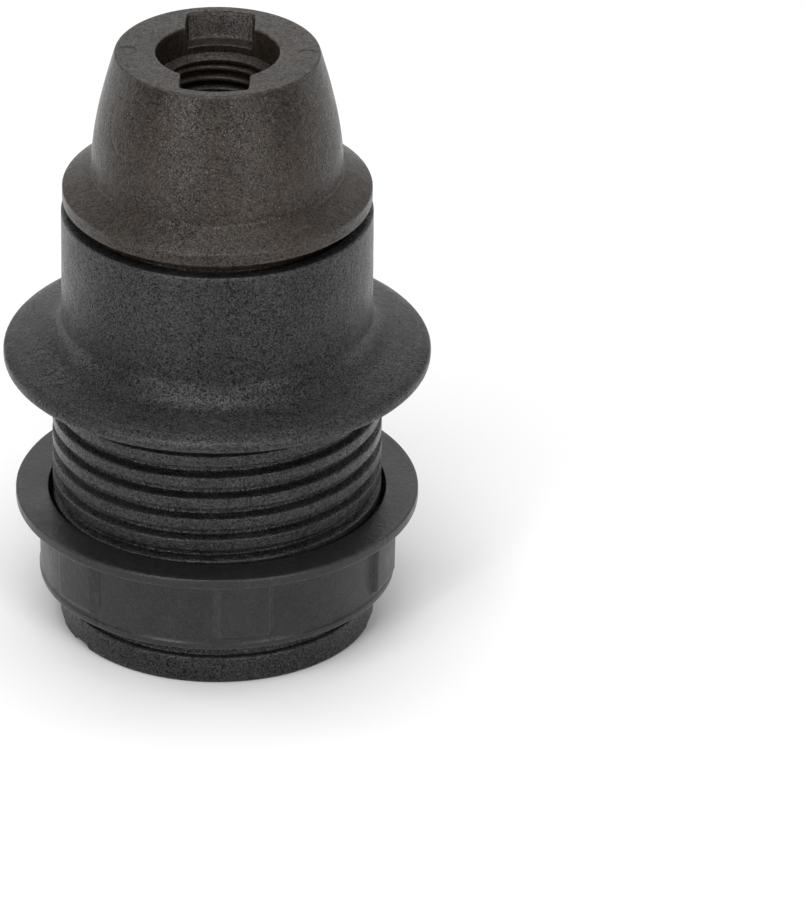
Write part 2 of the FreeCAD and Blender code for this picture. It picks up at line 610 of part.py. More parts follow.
def make_shell_strip():
    """Flat strip from the front shell rivet to the seat of the neutral terminal."""
    z = FLOOR_TOP
    half_x = CAGE_X / 2
    half_y = CAGE_Y / 2
    seat = block(-TERMINAL_X - half_x, -TERMINAL_X + half_x, -half_y, half_y, z, z + STRIP_T)
    eye = rod(RIVET_HEAD_R + EYE_RIM, 0, -SHELL_RIVET_Y, z, STRIP_T)
    start = FreeCAD.Vector(-TERMINAL_X + half_x / 3, -half_y / 4, z)
    end = FreeCAD.Vector(0, -SHELL_RIVET_Y, z)
    run = end.sub(start)
    arm = Part.makeBox(run.Length, ARM_W, STRIP_T, FreeCAD.Vector(0, -ARM_W / 2, 0))
    arm.rotate(ORIGIN, Z, math.degrees(math.atan2(run.y, run.x)))
    arm.translate(start)
    whole = seat.fuse([eye, arm])
    whole = whole.common(disc(WALL_BORE_R - STRIP_CLEAR, z, STRIP_T))
    hole = rod(RIVET_R, 0, -SHELL_RIVET_Y, z - PAST, STRIP_T + 2 * PAST)
    return whole.cut([hole, disc(TURRET_R + STRIP_CLEAR, z - PAST, STRIP_T + 2 * PAST)])


def make_centre_plunger():
    """Contact button on a stem that slides in the insert's floor."""
    back = TIP_Z + TIP_H
    shoulder = TURRET_BORE_Z + COLLAR_PLAY
    stem_top = shoulder + PLUNGER_COLLAR_H + STEM_END_H
    flat = p(TIP_FLAT_R, TIP_Z)
    side = p(TIP_R, TIP_Z + TIP_ROUND_H)
    bulge = p(TIP_FLAT_R + (TIP_R - TIP_FLAT_R) * 0.75, TIP_Z + TIP_ROUND_H / 3)
    edges = [
        line(p(0, TIP_Z), flat),
        arc(flat, bulge, side),
        line(side, p(TIP_R, back)),
        line(p(TIP_R, back), p(STEM_R, back)),
        line(p(STEM_R, back), p(STEM_R, shoulder)),
        line(p(STEM_R, shoulder), p(STEM_END_R, shoulder)),
        line(p(STEM_END_R, shoulder), p(STEM_END_R, stem_top)),
        line(p(STEM_END_R, stem_top), p(0, stem_top)),
        line(p(0, stem_top), p(0, TIP_Z)),
    ]
    return turned(edges)


def make_plunger_collar():
    return pipe(PLUNGER_COLLAR_R, STEM_END_R, TURRET_BORE_Z + COLLAR_PLAY, PLUNGER_COLLAR_H)


def make_plunger_spring():
    low = TURRET_BORE_Z + COLLAR_PLAY + PLUNGER_COLLAR_H + SPRING_WIRE_R
    high = TURRET_TOP - SPRING_WIRE_R
    helix = Part.makeHelix((high - low) / SPRING_TURNS, high - low, SPRING_MEAN_R)
    circle = Part.makeCircle(SPRING_WIRE_R, FreeCAD.Vector(SPRING_MEAN_R, 0, 0), Y)
    spring = Part.Wire(helix.Edges).makePipeShell([Part.Wire([circle])], True, True)
    spring.translate(FreeCAD.Vector(0, 0, low))
    return spring


def make_centre_strip():
    """Strip over the turret that carries the plunger's spring and ends on the live terminal."""
    half = STRIP_W / 2
    end = TERMINAL_X + CAGE_X / 2
    plate = block(-TURRET_R, end, -half, half, TURRET_TOP, TURRET_TOP + STRIP_T)
    cover = disc(TURRET_BORE_R + COVER_RIM, TURRET_TOP, STRIP_T)
    low = TURRET_TOP - PAST
    deep = STRIP_T + 2 * PAST
    holes = [
        rod(SCREW_HOLE_R + EYE_RIM, TERMINAL_X, 0, low, deep),
        rod(STRIP_RIVET_R, strip_rivet_x(), 0, low, deep),
    ]
    return plate.fuse(cover).cut(holes)


def make_centre_strip_rivet():
    x = strip_rivet_x()
    shank = rod(STRIP_RIVET_R, x, 0, TURRET_TOP - STRIP_RIVET_DEPTH, STRIP_RIVET_DEPTH + STRIP_T)
    head = rod(STRIP_RIVET_HEAD_R, x, 0, TURRET_TOP + STRIP_T, STRIP_RIVET_HEAD_H)
    return shank.fuse(head)


# ---------------------------------------------------------------- terminals
def make_terminal(side):
    """Brass cage, as high as the turret, with a wire window through it and a tapped hole in its top."""
    x = side * TERMINAL_X
    cage = block(x - CAGE_X / 2, x + CAGE_X / 2, -CAGE_Y / 2, CAGE_Y / 2, CAGE_Z, TURRET_TOP)
    upright = [e for e in cage.Edges if e.BoundBox.ZLength > CAGE_X / 2]
    cage = cage.makeFillet(CAGE_ROUND, upright)
    low = CAGE_Z + WINDOW_Z
    half = WINDOW_X / 2
    window = block(x - half, x + half, -CAGE_Y, CAGE_Y, low, low + WINDOW_H)
    return cage.cut([window, rod(SCREW_HOLE_R, x, 0, low, TURRET_TOP - CAGE_Z)])


def make_clamp_plate(side):
    """Pressure plate under the screw's tip, inside the cage's window."""
    x = side * TERMINAL_X
    z = CAGE_Z + WINDOW_Z + PLATE_CLEAR
    half = WINDOW_X / 2 - PLATE_CLEAR
    end = CAGE_Y / 2 - PLATE_END_GAP
    plate = block(x - half, x + half, -end, end, z, z + PLATE_T)
    lip_half = PLATE_LIP_W / 2
    lip = block(x - half, x + half, -lip_half, lip_half, z - PLATE_LIP, z + PLATE_LIP)
    return plate.fuse(lip)


def make_terminal_screw(side):
    """Slotted cheese-head screw that turns in the cage and presses on the plate."""
    x = side * TERMINAL_X
    tip = CAGE_Z + WINDOW_Z + PLATE_CLEAR + PLATE_T + SCREW_TIP_GAP
    head_z = TURRET_TOP + STRIP_T + SCREW_HEAD_GAP
    top = head_z + SCREW_HEAD_H
    shank = rod(SCREW_R, x, 0, tip, head_z - tip)
    shank = shank.makeChamfer(SCREW_TIP, [e for e in shank.Edges if e.BoundBox.ZMax < tip + SCREW_TIP])
    head = rod(SCREW_HEAD_R, x, 0, head_z, SCREW_HEAD_H)
    head = head.makeChamfer(SCREW_HEAD_EDGE, [e for e in head.Edges if e.BoundBox.ZMin > top - SCREW_TIP])
    reach = SCREW_HEAD_R + PAST
    half = SCREW_SLOT_W / 2
    slot = block(x - reach, x + reach, -half, half, top - SCREW_SLOT_H, top + PAST)
    return shank.fuse(head).cut(slot)


# ---------------------------------------------------------------- side contact spring
def make_side_contact():
    """Bowed leaf that presses on the side of the lamp's cap."""
    middle = (LEAF_LOW + LEAF_HIGH) / 2
    back = LEAF_FOOT_X
    face_x = LEAF_FOOT_X - LEAF_T
    outer = arc(p(back, LEAF_LOW), p(LEAF_CREST_X, middle), p(back, LEAF_HIGH))
    inner = arc(p(face_x, LEAF_LOW), p(LEAF_CREST_X - LEAF_T, middle), p(face_x, LEAF_HIGH))
    tab_top = LEAF_HIGH + LEAF_TAB
    ends = [
        line(p(face_x, LEAF_LOW), p(back, LEAF_LOW)),
        line(p(back, LEAF_HIGH), p(back, tab_top)),
        line(p(back, tab_top), p(face_x, tab_top)),
        line(p(face_x, tab_top), p(face_x, LEAF_HIGH)),
    ]
    face = Part.Face(Part.Wire(Part.__sortEdges__([outer, inner] + ends)))
    face.translate(FreeCAD.Vector(0, -LEAF_W / 2, 0))
    return face.extrude(FreeCAD.Vector(0, LEAF_W, 0))


# ---------------------------------------------------------------- build
save("sleeve", make_sleeve())
save("shade_ring", make_shade_ring())
save("cap", make_cap())
save("insert_body", make_insert_body())
save("screw_shell", make_screw_shell())
save("shell_rivets", make_shell_rivets())
save("shell_strip", make_shell_strip())
save("centre_plunger", make_centre_plunger())
save("plunger_collar", make_plunger_collar())
save("plunger_spring", make_plunger_spring())
save("centre_strip", make_centre_strip())
save("centre_strip_rivet", make_centre_strip_rivet())
save("side_contact_spring", make_side_contact())
for side_name, side_sign in (("live", 1), ("neutral", -1)):
    save(f"{side_name}_terminal", make_terminal(side_sign))
    save(f"{side_name}_clamp_plate", make_clamp_plate(side_sign))
    save(f"{side_name}_terminal_screw", make_terminal_screw(side_sign))
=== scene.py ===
# %% [markdown]
# # A screwed lampholder for small candle lamps
# The real object is a plastic lampholder in three screwed parts. A domed cap with a threaded entry
# sits on a sleeve with a wide collar, and a shade ring runs on the sleeve's thread. Inside, an insert
# carries the lamp's screw shell, two contacts and two wire terminals.
# The engineering model gives the size, the axis and the joints. The cells below build finer surfaces
# round it and give every part its own finish.

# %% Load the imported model
import math

import bpy
import numpy as np
from mathutils import Matrix, Vector


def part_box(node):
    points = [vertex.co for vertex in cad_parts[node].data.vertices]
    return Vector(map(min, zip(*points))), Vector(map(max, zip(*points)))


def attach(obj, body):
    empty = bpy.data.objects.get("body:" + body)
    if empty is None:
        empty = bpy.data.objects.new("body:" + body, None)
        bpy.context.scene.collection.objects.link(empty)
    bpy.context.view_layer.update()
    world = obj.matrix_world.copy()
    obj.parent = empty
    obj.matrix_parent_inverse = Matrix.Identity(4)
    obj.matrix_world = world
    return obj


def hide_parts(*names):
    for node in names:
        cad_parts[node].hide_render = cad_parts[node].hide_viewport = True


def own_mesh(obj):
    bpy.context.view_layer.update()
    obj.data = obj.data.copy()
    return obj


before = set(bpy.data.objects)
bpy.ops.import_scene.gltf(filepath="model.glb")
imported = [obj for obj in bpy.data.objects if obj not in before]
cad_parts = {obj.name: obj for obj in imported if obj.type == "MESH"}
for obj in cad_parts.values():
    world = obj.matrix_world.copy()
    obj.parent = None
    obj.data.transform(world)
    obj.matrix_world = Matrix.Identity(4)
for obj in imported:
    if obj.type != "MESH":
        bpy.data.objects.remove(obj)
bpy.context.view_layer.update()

print("nodes:", len(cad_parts))

# %% [markdown]
# ## Sizes
# Everything is turned about one vertical axis, so a part is described by radii and heights. They are
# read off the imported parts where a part's box gives them, so the surfaces land where the model says.
# Working in millimetres keeps the numbers readable, and one factor turns them into metres at the end.

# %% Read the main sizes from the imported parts
MM = 0.001
FRONT = -math.pi / 2


def box_mm(node):
    """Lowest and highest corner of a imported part, in millimetres."""
    low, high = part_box(node)
    return low / MM, high / MM


cap_low, cap_high = box_mm("cap")
sleeve_high = box_mm("sleeve")[1]
ring_low, ring_high = box_mm("shade_ring")
INSERT_TOP = box_mm("insert_body")[1].z
CAP_TOP = cap_high.z
SKIRT_END = cap_low.z
CAP_FLANGE_R = cap_high.x
SLEEVE_TOP = sleeve_high.z
COLLAR_R = sleeve_high.x
RING_R = ring_high.x
RING_TOP = ring_high.z
RING_LOW = ring_low.z
print("cap top", round(CAP_TOP, 2), "collar radius", round(COLLAR_R, 2), "ring radius", round(RING_R, 2))

# %% [markdown]
# ## Turned surfaces
# A moulded round part could be a revolved curve with a Screw modifier, or a lathe surface with
# booleans for threads and slots. Both leave hard edges where a thread meets a wall. Here each part is
# one closed grid instead. Its rows follow the section right round, from the inside to the outside,
# and its columns go round the axis. A thread, a pad or a slot only shifts grid points, so every edge
# keeps a small rounding like a real moulding and the mesh stays watertight.


# %% Draw a section with rounded corners
class Outline:
    """A closed section. A corner is a radius, a height, a rounding, its side's name and its step.
    Only corners that point outwards get wear, since a hand rubs those and not the hollows."""

    def __init__(self, corners, step, arc_steps=4):
        self.r, self.z, self.side, self.edge = [], [], [], []
        count = len(corners)
        around = sum(corners[i - 1][0] * c[1] - c[0] * corners[i - 1][1] for i, c in enumerate(corners))
        entry, leave, outward = [], [], []
        for i, corner in enumerate(corners):
            here = Vector(corner[:2])
            before = Vector(corners[i - 1][:2]) - here
            after = Vector(corners[(i + 1) % count][:2]) - here
            turn = before.angle(after)
            outward.append((after.x * before.y - after.y * before.x) * around > 0)
            cut = 0.0
            if corner[2] > 0 and turn < math.pi - 0.02:
                cut = corner[2] / math.tan(turn / 2)
                cut = min(cut, 0.49 * before.length, 0.49 * after.length)
            entry.append(here + before.normalized() * cut)
            leave.append(here + after.normalized() * cut)
        for i, corner in enumerate(corners):
            here = Vector(corner[:2])
            side = corner[3] if len(corner) > 3 else ""
            if (entry[i] - leave[i]).length > 1e-6:
                for k in range(arc_steps + 1):
                    t = k / arc_steps
                    point = entry[i] * (1 - t) ** 2 + here * (2 * t * (1 - t)) + leave[i] * t ** 2
                    wear = (1.0 - abs(2 * t - 1) * 0.6) * outward[i]
                    self.add(point, side if k == arc_steps else "", wear)
            else:
                self.add(here, side, 0.0)
            target = entry[(i + 1) % count]
            run = target - leave[i]
            pieces = max(1, math.ceil(run.length / (corner[4] if len(corner) > 4 else step)))
            for k in range(1, pieces):
                self.add(leave[i] + run * (k / pieces), side, 0.0)
        self.r, self.z = np.array(self.r), np.array(self.z)
        self.edge = np.array(self.edge)

    def add(self, point, side, edge):
        self.r.append(point.x)
        self.z.append(point.y)
        self.side.append(side)
        self.edge.append(edge)

    def rows(self, name):
        """Which rows belong to a side, as a column of true and false."""
        return np.array([s == name for s in self.side])[:, None]


def columns_at(count, wanted=()):
    """Angles round the axis, evenly spaced, with the nearest one moved onto each wanted angle."""
    angles = np.arange(count) * (2 * math.pi / count) - math.pi
    for want in wanted:
        want = (want + math.pi) % (2 * math.pi) - math.pi
        angles[np.argmin(np.abs(angles - want))] = want
    return np.sort(angles)


def grid_piece(name, r, z, angle, edge):
    """Make a closed ring of quads from tables of radius, height and angle."""
    rows, cols = r.shape
    x, y = r * np.cos(angle), r * np.sin(angle)
    points = np.stack([x, y, z], axis=-1).reshape(-1, 3) * MM
    index = np.arange(rows * cols).reshape(rows, cols)
    right = np.roll(index, -1, axis=1)
    up = np.roll(index, -1, axis=0)
    corner = np.roll(right, -1, axis=0)
    faces = np.stack([index, right, corner, up], axis=-1).reshape(-1, 4)
    middle_r, middle_z = r.mean(axis=1), z.mean(axis=1)
    area = np.sum(middle_r * np.roll(middle_z, -1) - np.roll(middle_r, -1) * middle_z)
    if area < 0:
        faces = faces[:, ::-1]
    mesh = bpy.data.meshes.new(name)
    mesh.from_pydata(points.tolist(), [], faces.tolist())
    wear = mesh.attributes.new("edge", "FLOAT", "POINT")
    wear.data.foreach_set("value", np.clip(edge, 0, 1).astype(np.float32).ravel())
    mesh.shade_smooth()
    piece = bpy.data.objects.new(name, mesh)
    bpy.context.scene.collection.objects.link(piece)
    print(name, rows, "rows", cols, "columns")
    return piece


# %% [markdown]
# ## Threads
# A moulded thread is a ridge that climbs one pitch per turn. Its height at a point depends only on
# how far the point is from the nearest ridge, measured along the axis. That distance comes straight
# from height and angle, so one small function makes the coarse barrel thread, the fine entry thread
# and the joint between cap and sleeve. A soft step in place of a straight flank gives the rounded
# crests and roots that come out of a mould.


# %% Helper for a ridge that winds round the axis
def soft_step(value):
    value = np.clip(value, 0, 1)
    return value * value * (3 - 2 * value)


def ridge(z, angle, pitch, phase, crest, foot):
    """Height from 0 to 1 of a right-hand ridge, flat over crest and gone beyond foot."""
    turns = (z - phase) / pitch - (angle - FRONT) / (2 * math.pi)
    away = np.abs(turns - np.round(turns)) * pitch
    return soft_step((foot / 2 - away) / ((foot - crest) / 2))


# %% [markdown]
# ## Moulded plastic
# The real parts are a black heat-resistant plastic. The mould is spark eroded, which leaves a fine
# grain, and the filler shows as tiny pale specks and faint cloudy patches. Handling rubs the edges
# a little lighter. Image textures would need unwrapping, so the finish is built from noise measured
# in millimetres: a cloud, a grain that also changes how much each spot reflects, specks, and a wear
# mask stored on the mesh.


# %% Node helpers and the plastic recipe
def new_material(name):
    material = bpy.data.materials.new(name)
    material.use_nodes = True
    tree = material.node_tree
    shader = tree.nodes["Principled BSDF"]
    place = tree.nodes.new("ShaderNodeTexCoord")
    scale = tree.nodes.new("ShaderNodeVectorMath")
    scale.operation = "SCALE"
    scale.inputs["Scale"].default_value = 1 / MM
    tree.links.new(place.outputs["Object"], scale.inputs[0])
    return material, tree, shader, scale.outputs[0]


def noise(tree, where, per_mm, detail=2.0, rough=0.5):
    node = tree.nodes.new("ShaderNodeTexNoise")
    node.inputs["Scale"].default_value = per_mm
    node.inputs["Detail"].default_value = detail
    node.inputs["Roughness"].default_value = rough
    tree.links.new(where, node.inputs["Vector"])
    return node.outputs["Fac"]


def spread(tree, value, low, high, to_low=0.0, to_high=1.0):
    """Stretch a range of a value onto another range, clamped."""
    node = tree.nodes.new("ShaderNodeMapRange")
    node.inputs["From Min"].default_value = low
    node.inputs["From Max"].default_value = high
    node.inputs["To Min"].default_value = to_low
    node.inputs["To Max"].default_value = to_high
    tree.links.new(value, node.inputs["Value"])
    return node.outputs["Result"]


def maths(tree, kind, a, b):
    node = tree.nodes.new("ShaderNodeMath")
    node.operation = kind
    for socket, value in zip(node.inputs, (a, b)):
        if isinstance(value, (int, float)):
            socket.default_value = value
        else:
            tree.links.new(value, socket)
    return node.outputs[0]


def blend_colour(tree, factor, a, b):
    node = tree.nodes.new("ShaderNodeMix")
    node.data_type = "RGBA"
    tree.links.new(factor, node.inputs["Factor"])
    for socket, value in ((node.inputs["A"], a), (node.inputs["B"], b)):
        if isinstance(value, tuple):
            socket.default_value = value + (1.0,)
        else:
            tree.links.new(value, socket)
    return node.outputs["Result"]


def grey(value, tint=(1.0, 1.0, 1.0)):
    return tuple(value * t for t in tint)


PLASTIC_IOR = 1.37


def plastic(name, dark, light, rough, grain_per_mm, grain_depth, sheen, specks, rubbed, wear):
    """Black moulded plastic. Depths are millimetres, colours are linear."""
    material, tree, shader, where = new_material(name)
    cloud = noise(tree, where, 0.16, 4.0, 0.6)
    mottle = noise(tree, where, 1.7, 3.0, 0.6)
    grain = noise(tree, where, grain_per_mm, 3.0, 0.62)
    patch = maths(tree, "ADD", maths(tree, "MULTIPLY", cloud, 0.3), maths(tree, "MULTIPLY", mottle, 0.3))
    patch = maths(tree, "ADD", patch, maths(tree, "MULTIPLY", grain, 0.4))
    colour = blend_colour(tree, spread(tree, patch, 0.40, 0.62), dark, light)
    dots = tree.nodes.new("ShaderNodeTexVoronoi")
    dots.inputs["Scale"].default_value = 1.9
    tree.links.new(where, dots.inputs["Vector"])
    near = spread(tree, dots.outputs["Distance"], 0.05, 0.11, 1.0, 0.0)
    chosen = spread(tree, noise(tree, dots.outputs["Color"], 3.0, 0.0), 0.5, 0.62)
    speck = maths(tree, "MULTIPLY", maths(tree, "MULTIPLY", near, chosen), specks)
    colour = blend_colour(tree, speck, colour, grey(0.30, (1.0, 0.96, 0.9)))
    edge = tree.nodes.new("ShaderNodeAttribute")
    edge.attribute_name = "edge"
    scuff = spread(tree, noise(tree, where, 2.6, 4.0, 0.7), 0.38, 0.66)
    worn = maths(tree, "MULTIPLY", maths(tree, "MULTIPLY", edge.outputs["Fac"], scuff), wear)
    colour = blend_colour(tree, worn, colour, rubbed)
    tree.links.new(colour, shader.inputs["Base Color"])
    gloss = spread(tree, noise(tree, where, 0.5, 5.0, 0.65), 0.3, 0.7, rough - 0.06, rough + 0.07)
    polished = maths(tree, "SUBTRACT", gloss, maths(tree, "MULTIPLY", worn, 0.1))
    tree.links.new(polished, shader.inputs["Roughness"])
    shader.inputs["IOR"].default_value = PLASTIC_IOR
    reflects = spread(tree, grain, 0.36, 0.64, 0.5 - sheen, 0.5 + sheen)
    tree.links.new(reflects, shader.inputs["Specular IOR Level"])
    ripple = noise(tree, where, grain_per_mm * 0.22, 2.0, 0.5)
    height = maths(tree, "ADD", grain, maths(tree, "MULTIPLY", ripple, 1.4))
    bump = tree.nodes.new("ShaderNodeBump")
    bump.inputs["Strength"].default_value = 1.0
    bump.inputs["Distance"].default_value = grain_depth * MM
    tree.links.new(height, bump.inputs["Height"])
    tree.links.new(bump.outputs["Normal"], shader.inputs["Normal"])
    return material


WARM, COOL, GREENISH = (1.35, 1.0, 0.75), (0.98, 1.0, 1.03), (0.96, 1.02, 0.98)
cap_black = plastic("cap_black", grey(0.005, WARM), grey(0.027, WARM), rough=0.27,
                    grain_per_mm=6.5, grain_depth=0.05, sheen=0.36, specks=0.55,
                    rubbed=grey(0.075, (1.1, 1.0, 0.9)), wear=0.45)
sleeve_black = plastic("sleeve_black", grey(0.003, COOL), grey(0.019, COOL), rough=0.29, grain_per_mm=6.0,
                       grain_depth=0.055, sheen=0.42, specks=0.45, rubbed=grey(0.07), wear=0.5)
ring_black = plastic("ring_black", grey(0.009, GREENISH), grey(0.020, GREENISH), rough=0.33,
                     grain_per_mm=8.0, grain_depth=0.02, sheen=0.1, specks=0.2,
                     rubbed=grey(0.06, (0.98, 1.0, 1.0)), wear=0.4)
insert_black = plastic("insert_black", grey(0.012), grey(0.022), rough=0.5, grain_per_mm=8.0,
                       grain_depth=0.02, sheen=0.1, specks=0.3, rubbed=grey(0.05), wear=0.2)
print("plastics:", [m.name for m in bpy.data.materials])

# %% [markdown]
# ## The cap
# The cap is a thick dome with a flange. Its top has a shallow counterbore, a fine tapped entry for a
# hollow rod and a slot across it for a locking piece. Cutting the slot with a boolean would leave a
# ragged edge on a round grid. The columns near the slot are bent to run along its straight walls
# instead, so the wall and its small rounding are rows of clean quads. Two faint circles are the marks
# of ejector pins, and a fainter one on the dome marks where the mould's gate was.

# %% Cap sizes
CAP_TOP_R, DOME_R, DOME_Z = 8.6, 10.6, CAP_TOP - 11.0
FLANGE_TOP, FLANGE_BOTTOM = SLEEVE_TOP + 2.15, SLEEVE_TOP + 1.0
ENTRY_R, ENTRY_FLOOR, ENTRY_BOTTOM, BOSS_R = 5.17, CAP_TOP - 2.63, CAP_TOP - 10.0, 6.3
CORE_ROOF, CAP_WALL, SKIRT_BORE_R = CAP_TOP - 3.8, 1.6, 9.9
SLOT_HALF, SLOT_DEPTH, SLOT_END_R, SLOT_FLOOR_R, SLOT_TURN = 2.975, 1.95, 7.55, 6.55, math.radians(-2.4)
M10_R, M10_MINOR_R, M10_PITCH = 5.0, 4.46, 1.0
JOINT_R, JOINT_ROOT_R, JOINT_PITCH = 12.0, 11.3, 1.5
KEY_HALF, KEY_DEPTH, KEY_OVER_INSERT = 1.9, 0.95, 0.7
EJECTOR_MARKS = ((-7.55, -0.3, 0.74), (7.55, -0.28, 0.78))
GATE_ANGLE, GATE_Z, GATE_R = FRONT - math.radians(47), CAP_TOP - 4.2, 2.6
CAP_COLUMNS = 400


def dome_r(z):
    """Outer radius of the dome at a height, swelling as it goes down."""
    part = np.clip((CAP_TOP - z) / (CAP_TOP - DOME_Z), 0, 1)
    return CAP_TOP_R + (DOME_R - CAP_TOP_R) * np.sin(part * math.pi / 2)


# %% Draw the cap's section
def cap_outline():
    dome = [(float(dome_r(z)), z, 0, "dome", 0.16) for z in np.linspace(CAP_TOP - 0.7, DOME_Z + 0.5, 56)]
    core = [(float(dome_r(z)) - CAP_WALL, z, 0, "") for z in np.linspace(DOME_Z, CORE_ROOF - 0.6, 5)]
    return Outline([
        (M10_MINOR_R, ENTRY_BOTTOM, 0.15, "entry", 0.07),
        (M10_MINOR_R, ENTRY_FLOOR - 0.34, 0.08, "chamfer", 0.1),
        (ENTRY_R, ENTRY_FLOOR, 0.10, "bore", 0.2),
        (ENTRY_R, CAP_TOP, 0.16, "top", 0.13),
        (CAP_TOP_R - 0.02, CAP_TOP, 0.28, "dome", 0.16),
    ] + dome + [
        (DOME_R, DOME_Z, 0.35, "slope"),
        (CAP_FLANGE_R, FLANGE_TOP, 0.22, "rim", 0.2),
        (CAP_FLANGE_R, FLANGE_BOTTOM, 0.18, ""),
        (JOINT_ROOT_R, FLANGE_BOTTOM, 0.2, "neck", 0.1),
        (JOINT_ROOT_R, SKIRT_END, 0.2, ""),
        (SKIRT_BORE_R, SKIRT_END, 0.2, "skirt", 0.3),
        (SKIRT_BORE_R, FLANGE_BOTTOM + 0.5, 0.3, ""),
    ] + core + [
        (float(dome_r(CORE_ROOF)) - CAP_WALL, CORE_ROOF, 0.5, ""),
        (BOSS_R, CORE_ROOF, 0.3, ""),
        (BOSS_R, ENTRY_BOTTOM, 0.2, ""),
    ], 0.5)


# %% Place the cap's columns
def cap_columns(wall):
    """Even columns, with a few close ones on each side of the slot's walls."""
    bands = []
    for middle in (FRONT, -FRONT):
        for sign in (1, -1):
            bands += [middle + sign * (wall + d) for d in (-0.075, -0.05, -0.025, 0.0, 0.025, 0.05)]
    angle0 = np.sort(np.append(columns_at(CAP_COLUMNS), bands))
    keep = np.append(np.diff(angle0) > 0.002, True)
    return angle0[keep]


print("cap columns", cap_columns(math.asin(SLOT_HALF / ENTRY_R)).size)


# %% Build the cap
def build_cap():
    section = cap_outline()
    wall = math.asin(SLOT_HALF / ENTRY_R)
    angle0 = cap_columns(wall)
    r = np.repeat(section.r[:, None], angle0.size, 1)
    z = np.repeat(section.z[:, None], angle0.size, 1)
    edge = np.repeat(section.edge[:, None], angle0.size, 1)
    # bend the columns so that a fixed column follows the slot's straight wall over the top
    reach = np.clip(section.r, ENTRY_R, SLOT_END_R + 0.4)[:, None]
    on_top = section.rows("top") | section.rows("bore") | (section.edge[:, None] > 0)
    on_top &= (section.z[:, None] > ENTRY_FLOOR + 0.2) & (section.r[:, None] < CAP_TOP_R + 0.4)
    walls = np.where(on_top, np.arcsin(SLOT_HALF / reach), wall)
    middle = np.where(angle0 < 0, FRONT, -FRONT)[None, :]
    off = angle0[None, :] - middle
    inner = off / wall * walls
    outer = np.sign(off) * (walls + (np.abs(off) - wall) / (math.pi / 2 - wall) * (math.pi / 2 - walls))
    angle = middle + np.where(np.abs(off) <= wall, inner, outer)
    # the slot: inside its walls and its round end, the top is low
    beside = (np.abs(off) - wall) * ENTRY_R
    in_slot = 1 - soft_step((beside + 0.30) / 0.22)
    wall_run = (SLOT_END_R - section.r[:, None]) / (SLOT_END_R - SLOT_FLOOR_R)
    round_end = np.clip(wall_run, 0, 1) - 0.04 * np.sin(np.clip(wall_run, 0, 1) * 2 * math.pi)
    sunk = SLOT_DEPTH * in_slot * np.where(on_top, round_end, 1.0)
    high = section.z[:, None] > ENTRY_FLOOR + 0.02
    in_mouth = (section.r[:, None] < CAP_TOP_R - 0.2) & high & (section.r[:, None] > ENTRY_R - 0.02)
    share = np.clip((section.z[:, None] - ENTRY_FLOOR) / (CAP_TOP - ENTRY_FLOOR), 0, 1)
    z = np.where(in_mouth, z - sunk * share, z)
    rim_drop = 0.06 * (1 - soft_step((beside + 0.1) / 0.24)) * round_end * share
    z = np.where(in_mouth & (beside < 0.14) & (beside > -0.1), z - rim_drop, z)
    edge = np.where(in_mouth & (np.abs(beside) < 0.12) & (section.r[:, None] < SLOT_END_R), 0.8, edge)
    # threads
    entry = section.rows("entry")
    cut = 1 - ridge(z, angle, M10_PITCH, CAP_TOP + 0.67, 0.14, 0.95)
    fade = soft_step((z - ENTRY_BOTTOM - 0.2) / 0.6) * soft_step((ENTRY_FLOOR - 0.5 - z) / 0.3)
    r = np.where(entry, r + (M10_R - M10_MINOR_R) * cut * fade, r)
    edge = np.where(entry, np.clip(1 - cut * 2, 0, 1) * 0.9, edge)
    neck = section.rows("neck")
    tooth = ridge(z, angle, JOINT_PITCH, SKIRT_END, 0.3, 1.0)
    fade = soft_step((z - SKIRT_END - 0.5) / 0.3) * soft_step((SLEEVE_TOP - 0.25 - z) / 0.3)
    r = np.where(neck, r + (JOINT_R - JOINT_ROOT_R - 0.02) * tooth * fade, r)
    # keyways inside the skirt
    key = KEY_HALF - np.abs(off) * SKIRT_BORE_R
    keyed = section.rows("skirt") & (z < INSERT_TOP + KEY_OVER_INSERT)
    r = np.where(keyed, r + KEY_DEPTH * soft_step(key / 0.3), r)
    # ejector marks on the top face, and the gate's circle on the dome
    x, y = r * np.cos(angle), r * np.sin(angle)
    top = section.rows("top") * soft_step((CAP_TOP_R - 0.3 - r) / 0.15)
    for mark_x, mark_y, mark_r in EJECTOR_MARKS:
        gap = np.hypot(x - mark_x, y - mark_y)
        z = z - top * 0.07 * np.exp(-((gap - mark_r) / 0.10) ** 2)
        z = z - top * 0.03 * soft_step((mark_r - gap) / 0.1)
    gap = np.hypot(r * (angle - GATE_ANGLE), z - GATE_Z)
    r = np.where(section.rows("dome"), r - 0.03 * np.exp(-((gap - GATE_R) / 0.13) ** 2), r)
    return grid_piece("cap_moulding", r, z, angle + SLOT_TURN, edge)


cap_piece = build_cap()
cap_piece.data.materials.append(cap_black)
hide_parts("cap")
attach(cap_piece, "cap")

# %% [markdown]
# ## The sleeve
# The sleeve is the middle part. Its collar carries a lampshade, and a hollow fillet leads from the
# body down to the collar. Below the collar is the coarse barrel thread, and at the open end a plain
# band with a few notches that grip while the sleeve is turned home. The same grid method serves, with
# close rows along the thread, because its rounded crests catch the light and must not look faceted.

